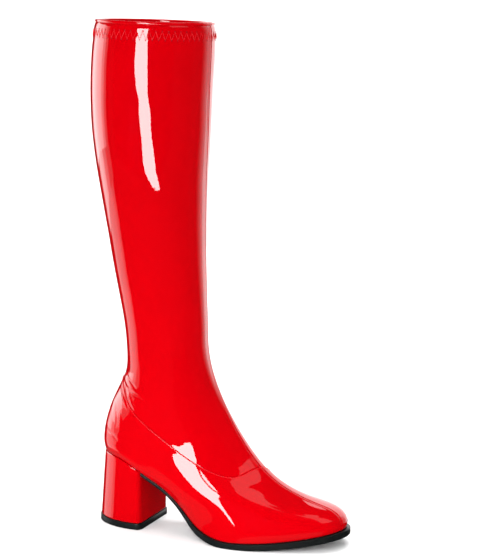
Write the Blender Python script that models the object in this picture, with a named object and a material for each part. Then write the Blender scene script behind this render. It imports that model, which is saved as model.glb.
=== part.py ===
"""Go go boot, right foot: a knee-high boot in stretch patent on a covered block heel.

Metres, +Z up. The toe points to +X and the outer side of the foot to -Y. The origin is the middle of
the heel's bottom face, and the boot stands on the plane z = 0.

Every curved piece comes from one form: closed rings that lean from level in the leg to the slope of
the foot. A ring's points run from its back (angle 0) along the outer side to its front (pi) and home
along the inner side, and the share of its length at an angle is (1 - cos(angle)) / 2.
"""
from math import pi

import bmesh
import bpy
import numpy as np

# Driving sizes of the foot and the leg
FOOT_LENGTH = 0.2275        # back of the seat to the tip of the toe, along the feather line
FOOT_WIDTH = 0.0790         # across the ball, at the feather line
SEAT_HEIGHT = 0.0658        # feather line above the floor, at the back of the heel
ANKLE_RISE = 0.0922         # from the seat to the narrowest part of the ankle
LEG_RISE = 0.2920           # from there to the collar
CALF_WIDTH = 0.1070         # across the widest part of the shaft
TOE_SPRING = 0.0105         # how far the toe's sole is off the floor

# Upper
WALL = 0.0018               # patent and its lining
HEM_WIDTH = 0.0105          # turned edge that holds the elastic
HEM_STEP = 0.0006           # how far the turned edge stands proud
COUNTER_STEP = 0.0005       # how far the lower foot stands proud of the shaft
STEP_RUN = 0.0008           # height over which a step runs out
SEAM_RIDGE = 0.0004         # height of the front seam

# Sole, heel and insole
SOLE_THICKNESS = 0.0058     # at the ball and the toe
SHANK_THICKNESS = 0.0032    # at the heel breast
SOLE_LEDGE = 0.0022         # how far the sole stands out past the upper
SHANK_LEDGE = 0.0006
EDGE_ROUND = 0.0010         # bevel at the sole's edges
HEEL_LENGTH = 0.0507        # at the bottom, back to breast
HEEL_WIDTH = 0.0584         # at the bottom
HEEL_FLARE = 0.0063         # how far the bottom reaches back past the seat
HEEL_CORNER = 0.0045        # radius of the breast's two upright corners
BREAST_PLACE = 0.0513       # breast's top edge, ahead of the bottom's back
HEEL_LEDGE = 0.0009         # how far the heel's top stands out past the upper
LIFT_THICKNESS = 0.0055
LIFT_LEDGE = 0.0008
INSOLE_THICKNESS = 0.0022
INSOLE_GAP = 0.0007         # clearance round the insole, inside the upper's wall
FIT_GAP = 0.0003            # clearance between two pieces that touch

# Mesh fineness
COLUMNS = 64                # points round a ring
CROWDING = 0.12             # how much closer those points lie at the sides than at toe and heel
LEG_ROWS = 12               # rings of the plain leg
SOLE_ROWS = 44              # cuts across the sole, breast to toe
HEEL_ROWS = 19              # cuts across the heel, back to breast
HEEL_LOOPS = 4              # loops up the heel
CORNER_CUTS = 6             # points round a corner of the breast
PLAN_POINTS = 721           # points of the feather line that the outlines are read from
NORMAL_NUDGE = 0.0005       # step up the form, and
NORMAL_SWING = 0.01         # angle round it, that a normal is measured over
MERGE_DISTANCE = 0.000002
SHARP_ANGLE = pi / 6        # edges that turn more than this are shaded sharp

FLOOR = 0.0

# The feather line, where the upper meets the sole. station: share of FOOT_LENGTH. shift and width:
# middle line and spread, shares of FOOT_WIDTH. drop: share of the fall from seat to ball. spring: share
# of TOE_SPRING. stout: how far the sole has grown from shank to full thickness. ledge: same, its ledge.
FEATHER_COLUMNS = ("station", "shift", "width", "drop", "spring", "stout", "ledge")
FEATHER = (
    (0.00, 0.000, 0.608, 1.000, 0.00, 0.00, 0.0),
    (0.12, 0.000, 0.519, 0.944, 0.00, 0.00, 0.0),
    (0.22, -0.006, 0.411, 0.741, 0.00, 0.00, 0.0),
    (0.30, -0.023, 0.344, 0.562, 0.00, 0.10, 0.1),
    (0.38, -0.043, 0.322, 0.308, 0.00, 0.45, 0.5),
    (0.44, -0.056, 0.367, 0.128, 0.00, 0.85, 0.9),
    (0.50, -0.063, 0.430, 0.038, 0.00, 0.98, 1.0),
    (0.56, -0.062, 0.486, -0.001, 0.00, 1.00, 1.0),
    (0.66, -0.040, 0.531, -0.004, 0.00, 1.00, 1.0),
    (0.76, -0.013, 0.537, -0.002, 0.14, 1.00, 1.0),
    (0.90, 0.016, 0.565, 0.000, 0.58, 1.05, 1.3),
    (1.00, 0.025, 0.633, 0.000, 1.00, 1.10, 1.6),
)

# Rings of the foot. level: share of ANKLE_RISE at the back. back and front: shares of FOOT_LENGTH from
# the seat's back. rise: front's share of the ankle's height over the toe. sag: how much of the arch and
# heel it still follows. shift and widths: shares of FOOT_WIDTH. turn: degrees from front to seam.
WIDTH_STATIONS = (0.00, 0.12, 0.36, 0.64, 0.88, 1.00)
FOOT_RING_COLUMNS = ("level", "back", "front", "rise", "sag", "mid_shift", "front_shift", "turn",
                     "back_width", "heel_width", "waist_width", "ball_width", "toe_width", "tip_width")
FOOT_RINGS = (
    (0.067, -0.0075, 1.000, 0.046, 0.86, -0.058, 0.038, -8, 0.633, 0.551, 0.373, 0.525, 0.570, 0.658),
    (0.154, -0.0084, 0.963, 0.100, 0.62, -0.051, 0.051, -7, 0.633, 0.551, 0.425, 0.494, 0.520, 0.610),
    (0.262, -0.0022, 0.872, 0.142, 0.38, -0.038, 0.051, -8, 0.595, 0.538, 0.437, 0.464, 0.405, 0.367),
    (0.382, 0.0110, 0.741, 0.225, 0.18, -0.025, 0.051, -9, 0.532, 0.506, 0.443, 0.411, 0.335, 0.285),
    (0.523, 0.0330, 0.622, 0.396, 0.06, -0.013, 0.038, -9, 0.456, 0.462, 0.447, 0.398, 0.329, 0.278),
    (0.675, 0.0637, 0.5275, 0.615, 0.00, -0.006, 0.025, -2, 0.380, 0.430, 0.454, 0.424, 0.347, 0.304),
    (0.826, 0.0900, 0.466, 0.806, 0.00, 0.000, 0.013, 6, 0.380, 0.418, 0.449, 0.440, 0.395, 0.367),
    (1.000, 0.0980, 0.433, 0.979, 0.00, 0.000, 0.000, 10, 0.405, 0.418, 0.430, 0.437, 0.430, 0.418),
)

# Rings of the leg. level: share of LEG_RISE over the ankle. centre: share of FOOT_LENGTH from the
# seat's back. depth and width: shares of CALF_WIDTH. turn: degrees from front to seam.
LEG_RING_COLUMNS = ("level", "centre", "depth", "width", "turn")
LEG_RINGS = (
    (0.075, 0.2580, 0.703, 0.636, 12),
    (0.229, 0.2376, 0.760, 0.720, 12),
    (0.384, 0.2210, 0.822, 0.820, 10),
    (0.538, 0.2070, 0.907, 0.917, 7),
    (0.692, 0.2007, 0.984, 0.976, 4),
    (0.846, 0.2060, 1.009, 1.000, 2),
    (0.949, 0.2160, 0.994, 0.990, 1),
    (1.000, 0.2200, 0.963, 0.963, 1),
)

# The seam between the shaft and the lower foot. angle: degrees round the ring from its back. level:
# share of ANKLE_RISE, the same on both sides of the foot.
SEAM_COLUMNS = ("angle", "level")
SEAM = (
    (0, 0.765),
    (20, 0.735),
    (40, 0.680),
    (56, 0.595),
    (72, 0.535),
    (90, 0.490),
    (107, 0.425),
    (126, 0.383),
    (146, 0.420),
    (166, 0.460),
    (180, 0.470),
)

# Shares of the wall's rows between the feather line and the seam, and between the seam and the leg
LOWER_SHARES = (0.0, 0.07, 0.17, 0.30, 0.45, 0.61, 0.77, 0.90)
ANKLE_SHARES = (0.10, 0.24, 0.42, 0.62, 0.82)
BARE_LEG_START = 0.05       # share of LEG_RISE where the level rows begin

# Colours as the surface reflects them, roughness
PATENT_RED = ((0.78, 0.004, 0.008, 1.0), 0.08)
SOLE_BLACK = ((0.012, 0.013, 0.013, 1.0), 0.35)
LINING_TAN = ((0.50, 0.42, 0.34, 1.0), 0.85)


def columns_of(names, rows):
    """Give a table's columns by name."""
    return dict(zip(names, np.array(rows, dtype=float).T))


def spline(knots, values, at):
    """Natural cubic spline. values: one column for all of at, or one column for each of its points."""
    knots = np.asarray(knots, dtype=float)
    values = np.asarray(values, dtype=float)
    if values.ndim == 1:
        values = values[:, None]
    step = np.diff(knots)
    system = np.eye(len(knots))
    bend = np.zeros(values.shape)
    for i in range(1, len(knots) - 1):
        system[i, i - 1:i + 2] = step[i - 1], 2 * (step[i - 1] + step[i]), step[i]
        bend[i] = 6 * ((values[i + 1] - values[i]) / step[i] - (values[i] - values[i - 1]) / step[i - 1])
    second = np.linalg.solve(system, bend)
    k = np.clip(np.searchsorted(knots, at, side="right") - 1, 0, len(knots) - 2)
    column = np.arange(len(at)) if values.shape[1] > 1 else 0
    b = (at - knots[k]) / step[k]
    a = 1 - b
    curved = (a ** 3 - a) * second[k, column] + (b ** 3 - b) * second[k + 1, column]
    return a * values[k, column] + b * values[k + 1, column] + curved * step[k] ** 2 / 6


FEATHER_LINE = columns_of(FEATHER_COLUMNS, FEATHER)
FOOT_RING = columns_of(FOOT_RING_COLUMNS, FOOT_RINGS)
LEG_RING = columns_of(LEG_RING_COLUMNS, LEG_RINGS)
SEAM_LINE = columns_of(SEAM_COLUMNS, SEAM)

BALL_HEIGHT = SOLE_THICKNESS + FIT_GAP
ANKLE_HEIGHT = SEAT_HEIGHT + ANKLE_RISE
COLLAR_HEIGHT = ANKLE_HEIGHT + LEG_RISE
HEEL_MIDDLE = HEEL_LENGTH / 2


def feather(column, share):
    """Read one column of the feather line at shares of its length."""
    return spline(FEATHER_LINE["station"], FEATHER_LINE[column], share)


def feather_x(share):
    """Give the feather line's place along the foot, from the middle of the heel's bottom."""
    return HEEL_FLARE - HEEL_MIDDLE + FOOT_LENGTH * share


def feather_z(share):
    """Give the feather line's height."""
    fall = feather("drop", share) * (SEAT_HEIGHT - BALL_HEIGHT)
    return BALL_HEIGHT + fall + feather("spring", share) * TOE_SPRING


def arch_of(share):
    """Give how far the feather line runs from the straight line between its ends."""
    ends = feather_z(np.array([0.0, 1.0]))
    return feather_z(share) - (ends[0] + (ends[1] - ends[0]) * share)


def ring_levels():
    """Give each ring's height at its back, from the feather line up."""
    foot = SEAT_HEIGHT + FOOT_RING["level"] * ANKLE_RISE
    leg = ANKLE_HEIGHT + LEG_RING["level"] * LEG_RISE
    return np.concatenate([[SEAT_HEIGHT], foot, leg])


def ring_places(share):
    """Give x, z, middle line and spread of every ring at shares of the rings' lengths."""
    toe_height = feather_z(np.array([1.0]))[0]
    arch = arch_of(share)
    back_edge = feather_x(np.zeros(1))[0]
    x = [feather_x(share)]
    z = [feather_z(share)]
    middle = [feather("shift", share) * FOOT_WIDTH]
    spread = [feather("width", share) * FOOT_WIDTH]
    widths = [FOOT_RING[name] for name in FOOT_RING_COLUMNS[-len(WIDTH_STATIONS):]]
    for i, level in enumerate(FOOT_RING["level"]):
        back = back_edge + FOOT_RING["back"][i] * FOOT_LENGTH
        front = back_edge + FOOT_RING["front"][i] * FOOT_LENGTH
        low = SEAT_HEIGHT + level * ANKLE_RISE
        high = toe_height + FOOT_RING["rise"][i] * (ANKLE_HEIGHT - toe_height)
        shifts = (0.0, FOOT_RING["mid_shift"][i], FOOT_RING["front_shift"][i])
        x.append(back + (front - back) * share)
        z.append(low + (high - low) * share + FOOT_RING["sag"][i] * arch)
        middle.append(spline((0.0, 0.5, 1.0), shifts, share) * FOOT_WIDTH)
        spread.append(spline(WIDTH_STATIONS, [w[i] for w in widths], share) * FOOT_WIDTH)
    for level, centre, depth, width in zip(*[LEG_RING[name] for name in LEG_RING_COLUMNS[:4]]):
        x.append(back_edge + centre * FOOT_LENGTH + depth * CALF_WIDTH * (share - 0.5))
        z.append(np.full(len(share), ANKLE_HEIGHT + level * LEG_RISE))
        middle.append(np.zeros(len(share)))
        spread.append(np.full(len(share), width * CALF_WIDTH / 2))
    return [np.array(rows) for rows in (x, z, middle, spread)]


def form_points(level, angle):
    """Points of the outer form. level: height at the ring's back. angle: 0 back, pi at the front seam."""
    level = np.asarray(level, dtype=float)
    turns = np.radians(np.concatenate([FOOT_RING["turn"][:1], FOOT_RING["turn"], LEG_RING["turn"]]))
    turn = spline(ring_levels(), turns, level)
    angle = angle + turn * (1 - np.cos(angle)) / 2
    share = (1 - np.cos(angle)) / 2
    x, z, middle, spread = [spline(ring_levels(), rows, level) for rows in ring_places(share)]
    return np.stack([x, middle - spread * np.sin(angle), z], axis=-1)


def form_normals(level, angle):
    """Unit normals of the outer form, pointing out."""
    along = form_points(level, angle + NORMAL_SWING) - form_points(level, angle - NORMAL_SWING)
    up = form_points(level + NORMAL_NUDGE, angle) - form_points(level - NORMAL_NUDGE, angle)
    normal = np.cross(along, up)
    return normal / np.linalg.norm(normal, axis=-1, keepdims=True)


def seam_level(angle):
    """Height, at the ring's back, of the seam between shaft and lower foot."""
    fold = 180 - np.abs(180 - np.degrees(angle))
    return SEAT_HEIGHT + ANKLE_RISE * spline(SEAM_LINE["angle"], SEAM_LINE["level"], fold)


def make_material(name, finish, coat):
    """Give a plain material of one colour and roughness, with a clear coat where it is patent."""
    material = bpy.data.materials.new(name)
    material.use_nodes = True
    shader = material.node_tree.nodes["Principled BSDF"]
    shader.inputs["Base Color"].default_value = finish[0]
    shader.inputs["Roughness"].default_value = finish[1]
    shader.inputs["Metallic"].default_value = 0.0
    shader.inputs["Coat Weight"].default_value = coat
    return material


def make_object(name, verts, faces, finish, coat=0.0):
    """Make a closed mesh object from points and faces."""
    mesh = bpy.data.meshes.new(name)
    mesh.from_pydata([tuple(v) for v in verts], [], faces)
    work = bmesh.new()
    work.from_mesh(mesh)
    bmesh.ops.remove_doubles(work, verts=work.verts, dist=MERGE_DISTANCE)
    bmesh.ops.recalc_face_normals(work, faces=work.faces)
    if work.calc_volume(signed=True) < 0:
        bmesh.ops.reverse_faces(work, faces=work.faces)
    bmesh.ops.triangulate(work, faces=[f for f in work.faces if len(f.verts) > 4])
    work.to_mesh(mesh)
    work.free()
    mesh.materials.append(make_material(name + "_finish", finish, coat))
    mesh.shade_smooth()
    mesh.set_sharp_from_angle(angle=SHARP_ANGLE)
    made = bpy.data.objects.new(name, mesh)
    bpy.context.collection.objects.link(made)
    return made


def bridge(rings, closed=False):
    """Give the faces between rings of equal length, and from the last to the first if closed."""
    count = len(rings[0])
    faces = []
    for i in range(len(rings) if closed else len(rings) - 1):
        low, high = rings[i], rings[(i + 1) % len(rings)]
        for j in range(count):
            k = (j + 1) % count
            faces.append((low[j], low[k], high[k], high[j]))
    return faces


def stack(rings, closed=False):
    """Join rings of points into one list of points and the faces between them."""
    count = len(rings[0])
    indices = [list(range(i * count, (i + 1) * count)) for i in range(len(rings))]
    return np.concatenate(rings), bridge(indices, closed), indices


def wall_rows():
    """Levels and steps of the outer wall's rows, feather line to collar."""
    even = np.arange(COLUMNS) * 2 * pi / COLUMNS
    angle = even + CROWDING * np.sin(2 * even)
    seam = seam_level(angle)
    leg_start = ANKLE_HEIGHT + BARE_LEG_START * LEG_RISE
    hem = COLLAR_HEIGHT - HEM_WIDTH
    rows = [(SEAT_HEIGHT + (seam - SEAT_HEIGHT) * share, COUNTER_STEP) for share in LOWER_SHARES]
    rows.append((seam - STEP_RUN / 2, COUNTER_STEP))
    rows.append((seam + STEP_RUN / 2, 0.0))
    rows += [(seam + (leg_start - seam) * share, 0.0) for share in ANKLE_SHARES]
    for level in np.linspace(leg_start, hem - STEP_RUN, LEG_ROWS):
        rows.append((np.full(COLUMNS, level), 0.0))
    for level in (hem, (hem + COLLAR_HEIGHT) / 2, COLLAR_HEIGHT - WALL / 2):
        rows.append((np.full(COLUMNS, level), HEM_STEP))
    return angle, rows


def make_upper():
    """One hollow wall, open at the collar and along the feather line."""
    angle, rows = wall_rows()
    ridge = np.where(np.arange(COLUMNS) == COLUMNS // 2, SEAM_RIDGE, 0.0)
    outer = []
    inner = []
    for i, (level, proud) in enumerate(rows):
        skin = form_points(level, angle)
        normal = form_normals(level, angle)
        if i == 0:
            normal = level_out(normal)
        outer.append(skin + normal * (proud + ridge)[:, None])
        inner.append(skin - normal * WALL)
    top_level = np.full(COLUMNS, COLLAR_HEIGHT)
    top = form_points(top_level, angle) - form_normals(top_level, angle) * (WALL - HEM_STEP) / 2
    kept = [row for i, row in enumerate(inner) if i not in inner_skips()]
    verts, faces, _ = stack(outer + [top] + kept[::-1], closed=True)
    return make_object("upper", verts, faces, PATENT_RED, coat=1.0)


def level_out(normal):
    """Turn normals level, for the wall's bottom edge, which lies on the sole."""
    flat = normal * (1, 1, 0)
    return flat / np.linalg.norm(flat, axis=-1, keepdims=True)


def inner_skips():
    """Rows that the lining does without: the second row of the seam's step, and the hem's first."""
    lower = len(LOWER_SHARES)
    return lower + 1, lower + 2 + len(ANKLE_SHARES) + LEG_ROWS


def plan_edges(moved_in):
    """Give both edges of the feather line's plan, moved in by a distance or a function of the share."""
    fine = np.linspace(0, pi, PLAN_POINTS)
    share = (1 - np.cos(fine)) / 2
    half = feather("width", share) * FOOT_WIDTH * np.sin(fine)
    middle = feather("shift", share) * FOOT_WIDTH
    distance = moved_in(share) if callable(moved_in) else moved_in
    edges = []
    for side in (-1, 1):
        x = feather_x(share)
        y = middle + side * half
        out = np.stack([np.gradient(y), -np.gradient(x)], axis=-1) * side * -1
        out /= np.linalg.norm(out, axis=-1, keepdims=True)
        edges.append((x - out[:, 0] * distance, y - out[:, 1] * distance))
    start = max(x[0] for x, _ in edges)
    end = min(x[-1] for x, _ in edges)
    return edges, start, end


def places_between(start, end, count, round_start, round_end):
    """Places between two ends, closer together towards an end that is round."""
    t = np.linspace(0, 1, count)
    if round_start and round_end:
        return start + (end - start) * (1 - np.cos(pi * t)) / 2
    quarter = np.sin(pi / 2 * t) if round_end else 1 - np.cos(pi / 2 * t)
    return start + (end - start) * quarter


def loop_at(xs, edges, heights):
    """Closed loop of points at places along one edge of a plate and back along the other."""
    left, right = [np.stack([xs, np.interp(xs, *edge), heights], axis=-1) for edge in edges]
    return np.concatenate([left, right[::-1]])


def cap_faces(index, count, upward):
    """Faces across a loop made by loop_at, one strip between each two cuts."""
    faces = []
    for i in range(count - 1):
        strip = (index[i], index[i + 1], index[2 * count - 2 - i], index[2 * count - 1 - i])
        faces.append(strip if upward else strip[::-1])
    return faces


def make_plate(name, loops, finish, coat=0.0):
    """Closed body from loops stacked from its bottom up."""
    verts, faces, indices = stack(loops)
    count = len(loops[0]) // 2
    faces += cap_faces(indices[0], count, False) + cap_faces(indices[-1], count, True)
    return make_object(name, verts, faces, finish, coat)


def share_at(xs):
    """Share of the foot's length at places along it."""
    return np.clip((xs - feather_x(0.0)) / FOOT_LENGTH, 0.0, 1.0)


def sole_heights(xs):
    """Top and bottom of the sole at places along it."""
    share = share_at(xs)
    top = feather_z(share) - FIT_GAP
    thickness = SHANK_THICKNESS + (SOLE_THICKNESS - SHANK_THICKNESS) * feather("stout", share)
    return top, np.maximum(top - thickness, FLOOR)


def sole_ledge(share):
    """How far the sole stands out past the feather line."""
    grown = np.maximum(feather("ledge", share), 0.0)
    return COUNTER_STEP + SHANK_LEDGE + (SOLE_LEDGE - SHANK_LEDGE) * grown


def make_outsole():
    """Thin sole with a ledge, from the heel's breast down the shank to the toe."""
    full, _, tip = plan_edges(lambda share: -sole_ledge(share))
    eased, _, eased_tip = plan_edges(lambda share: EDGE_ROUND - sole_ledge(share))
    start = BREAST_PLACE - HEEL_MIDDLE + FIT_GAP
    xs = places_between(start, tip, SOLE_ROWS, False, True)
    eased_xs = places_between(start, eased_tip, SOLE_ROWS, False, True)
    top, bottom = sole_heights(xs)
    eased_top, eased_bottom = sole_heights(eased_xs)
    loops = [
        loop_at(eased_xs, eased, eased_bottom),
        loop_at(xs, full, bottom + EDGE_ROUND),
        loop_at(xs, full, top - EDGE_ROUND / 2),
        loop_at(eased_xs, eased, eased_top),
    ]
    return make_plate("outsole", loops, SOLE_BLACK)


def make_insole():
    """Board and sock that close the inside, from the seat to the toe."""
    edges, start, end = plan_edges(WALL + INSOLE_GAP)
    xs = places_between(start, end, SOLE_ROWS, True, True)
    low = feather_z(share_at(xs))
    loops = [loop_at(xs, edges, low), loop_at(xs, edges, low + INSOLE_THICKNESS)]
    return make_plate("insole", loops, LINING_TAN)


def seat_outline():
    """Edges of the heel's top: the seat's own outline, closed by a flat breast with round corners."""
    edges, start, _ = plan_edges(-COUNTER_STEP - HEEL_LEDGE)
    bend = BREAST_PLACE - HEEL_MIDDLE - HEEL_CORNER
    turn = np.linspace(0, pi / 2, CORNER_CUTS)[1:]
    straight = places_between(start, bend, HEEL_ROWS, True, False)
    xs = np.concatenate([straight, bend + HEEL_CORNER * np.sin(turn)])
    sides = []
    for side, edge in zip((-1, 1), edges):
        y = np.interp(xs, *edge)
        y[HEEL_ROWS:] -= side * HEEL_CORNER * (1 - np.cos(turn))
        sides.append(y)
    return xs, sides


def heel_section(depth):
    """The heel's outline at a share of its height from the seat down: places along it and its edges."""
    xs, sides = seat_outline()
    length = xs[-1] - xs[0]
    width = sides[1].max() - sides[0].min()
    back = xs[0] + depth * (-HEEL_MIDDLE - xs[0])
    places = back + (xs - xs[0]) * (1 + depth * (HEEL_LENGTH / length - 1))
    return places, [(places, y * (1 + depth * (HEEL_WIDTH / width - 1))) for y in sides]


def make_heel():
    """Covered block heel under the seat, flaring back and out to the lift."""
    floor = LIFT_THICKNESS + FIT_GAP
    seat_top = feather_z(share_at(seat_outline()[0])) - FIT_GAP
    loops = []
    for depth in np.linspace(1, 0, HEEL_LOOPS):
        places, edges = heel_section(depth)
        loops.append(loop_at(places, edges, floor + (seat_top - floor) * (1 - depth)))
    return make_plate("heel", loops, PATENT_RED, coat=1.0)


def make_top_lift():
    """Hard black piece that the heel stands on."""
    places, edges = heel_section(depth=1)
    middle = (places[0] + places[-1]) / 2
    xs = middle + (places - middle) * (1 + 2 * LIFT_LEDGE / HEEL_LENGTH)
    grown = [(xs, y * (1 + 2 * LIFT_LEDGE / HEEL_WIDTH)) for _, y in edges]
    loops = [loop_at(xs, grown, np.full(len(xs), height)) for height in (FLOOR, LIFT_THICKNESS)]
    return make_plate("top_lift", loops, SOLE_BLACK)


def main():
    """Clear the scene and make the boot's five pieces."""
    for old in list(bpy.data.objects):
        bpy.data.objects.remove(old, do_unlink=True)
    make_upper()
    make_outsole()
    make_insole()
    make_heel()
    make_top_lift()


main()
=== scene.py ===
"""Go go boot, right foot, dressed: red stretch patent over a covered block heel.

Metres, +Z up, in the frame of the CAD solids. The toe points to +X and the outer side of the foot to -Y.
The curved pieces come from the same form as the solids: closed rings that lean from level in the leg to
the slope of the foot. A ring's points run from its back (angle 0) along the outer side to its front (pi)
and home along the inner side.
"""
from math import cos, pi, radians, sin

import bmesh
import bpy
import numpy as np
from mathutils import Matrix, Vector


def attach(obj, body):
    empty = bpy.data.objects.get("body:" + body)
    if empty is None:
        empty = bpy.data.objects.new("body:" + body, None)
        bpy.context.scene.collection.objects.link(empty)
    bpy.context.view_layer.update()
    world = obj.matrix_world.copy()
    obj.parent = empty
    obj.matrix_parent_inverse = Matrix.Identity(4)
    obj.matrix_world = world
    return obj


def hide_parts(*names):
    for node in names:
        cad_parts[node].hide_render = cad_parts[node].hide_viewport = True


bl_info = {
    "name": "Go go boot",
    "version": (1, 0, 0),
    "blender": (4, 5, 0),
    "location": "3D View > Sidebar > Boot",
    "description": "Dresses the solids of a go go boot in patent, thread, lining and a black sole",
    "category": "Object",
}

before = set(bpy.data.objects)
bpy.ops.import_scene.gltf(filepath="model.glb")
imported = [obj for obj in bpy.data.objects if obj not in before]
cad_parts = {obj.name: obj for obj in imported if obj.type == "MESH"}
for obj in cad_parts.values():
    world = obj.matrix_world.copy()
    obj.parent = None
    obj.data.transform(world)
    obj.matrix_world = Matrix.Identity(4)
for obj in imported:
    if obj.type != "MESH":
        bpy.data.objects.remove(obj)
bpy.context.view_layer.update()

# Driving sizes of the form, as in the solids
FOOT_LENGTH = 0.2275
FOOT_WIDTH = 0.0790
SEAT_HEIGHT = 0.0658
ANKLE_RISE = 0.0922
LEG_RISE = 0.2920
CALF_WIDTH = 0.1070
TOE_SPRING = 0.0105
WALL = 0.0018
COUNTER_STEP = 0.0005
SOLE_THICKNESS = 0.0058
SHANK_THICKNESS = 0.0032
SOLE_LEDGE = 0.0022
SHANK_LEDGE = 0.0006
HEEL_LENGTH = 0.0507
HEEL_WIDTH = 0.0584
HEEL_FLARE = 0.0063
HEEL_CORNER = 0.0045
BREAST_PLACE = 0.0513
HEEL_LEDGE = 0.0009
LIFT_THICKNESS = 0.0055
LIFT_LEDGE = 0.0008
INSOLE_THICKNESS = 0.0022
INSOLE_GAP = 0.0007
FIT_GAP = 0.0003
FLOOR = 0.0

# Feather line and rings of the form, with the columns of the solids' own tables
FEATHER_COLUMNS = ("station", "shift", "width", "drop", "spring", "stout", "ledge")
FEATHER = (
    (0.00, 0.000, 0.608, 1.000, 0.00, 0.00, 0.0),
    (0.12, 0.000, 0.519, 0.944, 0.00, 0.00, 0.0),
    (0.22, -0.006, 0.411, 0.741, 0.00, 0.00, 0.0),
    (0.30, -0.023, 0.344, 0.562, 0.00, 0.10, 0.1),
    (0.38, -0.043, 0.322, 0.308, 0.00, 0.45, 0.5),
    (0.44, -0.056, 0.367, 0.128, 0.00, 0.85, 0.9),
    (0.50, -0.063, 0.430, 0.038, 0.00, 0.98, 1.0),
    (0.56, -0.062, 0.486, -0.001, 0.00, 1.00, 1.0),
    (0.66, -0.040, 0.531, -0.004, 0.00, 1.00, 1.0),
    (0.76, -0.013, 0.537, -0.002, 0.14, 1.00, 1.0),
    (0.90, 0.016, 0.565, 0.000, 0.58, 1.05, 1.3),
    (1.00, 0.025, 0.633, 0.000, 1.00, 1.10, 1.6),
)
WIDTH_STATIONS = (0.00, 0.12, 0.36, 0.64, 0.88, 1.00)
FOOT_RING_COLUMNS = ("level", "back", "front", "rise", "sag", "mid_shift", "front_shift", "turn",
                     "back_width", "heel_width", "waist_width", "ball_width", "toe_width", "tip_width")
FOOT_RINGS = (
    (0.067, -0.0075, 1.000, 0.046, 0.86, -0.058, 0.038, -8, 0.633, 0.551, 0.373, 0.525, 0.570, 0.658),
    (0.154, -0.0084, 0.963, 0.100, 0.62, -0.051, 0.051, -7, 0.633, 0.551, 0.425, 0.494, 0.520, 0.610),
    (0.262, -0.0022, 0.872, 0.142, 0.38, -0.038, 0.051, -8, 0.595, 0.538, 0.437, 0.464, 0.405, 0.367),
    (0.382, 0.0110, 0.741, 0.225, 0.18, -0.025, 0.051, -9, 0.532, 0.506, 0.443, 0.411, 0.335, 0.285),
    (0.523, 0.0330, 0.622, 0.396, 0.06, -0.013, 0.038, -9, 0.456, 0.462, 0.447, 0.398, 0.329, 0.278),
    (0.675, 0.0637, 0.5275, 0.615, 0.00, -0.006, 0.025, -2, 0.380, 0.430, 0.454, 0.424, 0.347, 0.304),
    (0.826, 0.0900, 0.466, 0.806, 0.00, 0.000, 0.013, 6, 0.380, 0.418, 0.449, 0.440, 0.395, 0.367),
    (1.000, 0.0980, 0.433, 0.979, 0.00, 0.000, 0.000, 10, 0.405, 0.418, 0.430, 0.437, 0.430, 0.418),
)
LEG_RING_COLUMNS = ("level", "centre", "depth", "width", "turn")
LEG_RINGS = (
    (0.075, 0.2580, 0.703, 0.636, 12),
    (0.229, 0.2376, 0.760, 0.720, 12),
    (0.384, 0.2210, 0.822, 0.820, 10),
    (0.538, 0.2070, 0.907, 0.917, 7),
    (0.692, 0.2007, 0.984, 0.976, 4),
    (0.846, 0.2060, 1.009, 1.000, 2),
    (0.949, 0.2160, 0.994, 0.990, 1),
    (1.000, 0.2200, 0.963, 0.963, 1),
)
SEAM_COLUMNS = ("angle", "level")
SEAM = (
    (0, 0.765),
    (20, 0.735),
    (40, 0.680),
    (56, 0.595),
    (72, 0.535),
    (90, 0.490),
    (107, 0.425),
    (126, 0.383),
    (146, 0.420),
    (166, 0.460),
    (180, 0.470),
)

# Fineness of the rings
HALF_COLUMNS = 150          # columns from the back seam to the front seam
SEAM_CLUSTER = (0.00025, 0.0005, 0.0008, 0.0012, 0.0018, 0.0026)
LEVEL_NUDGE = 0.0005        # steps, in metres and radians, that measure the form's slopes
ANGLE_NUDGE = 0.01
PLAN_NUDGE = 0.004
SEAM_REACH = 0.002          # rows lie close together this far from the lower foot's seam
SHAFT_SEAM_ROWS = (0.0, 0.0001, 0.0003, 0.0006, 0.001, 0.0014, SEAM_REACH)
FOOT_SEAM_ROWS = (0.0015, 0.001, 0.0007, 0.0004, 0.0002, 0.0001, 0.0)
LOWER_LEG_ROWS = 100        # rows from the seam to LEG_START, and so on up to the rolled edge
LEG_ROWS = 80
HEM_ROWS = 32
BEAD_ROWS = 12
FOOT_ROWS = 118
INNER_FOOT_ROWS = 30        # rows of the inside, which are fewer
INNER_LOWER_LEG_ROWS = 14
INNER_LEG_ROWS = 40
LINING_LEG_ROWS = 44
COLLAR_STEPS = 720          # steps along the collar and the seam that measure their lengths
SEAM_STEPS = 1440
SOLE_COLUMNS = 360
SOCK_COLUMNS = 260
SOCK_START = 0.02           # angle from the back's middle at which the sock's edge begins
HEEL_COLUMNS = 160
SHARP_EDGE = radians(40)    # an edge is shaded sharp from this angle on
MERGE_DISTANCE = 0.000002

# Seams up the front and the back
GROOVE_DEPTH = 0.0005
GROOVE_WIDTH = 0.0004
LIP_HEIGHT = 0.00018
LIP_PLACE = 0.0014
LIP_WIDTH = 0.0010
SEAM_FADE = (0.0004, 0.0012)    # distances below the collar's top between which they run out

# Seam between shaft and lower foot
EDGE_ROLL = 0.0005          # depth that both edges turn in
EDGE_RUN = 0.0003           # width of that turn
SEAM_THREAD_PLACE = -0.0002  # height of that seam's thread over the lower foot's edge
SEAM_THREAD_RISE = 0.0003   # how far its middle lies above the form
STITCH_FLATNESS = 0.75      # height of that seam's stitches as a share of their width

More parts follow.
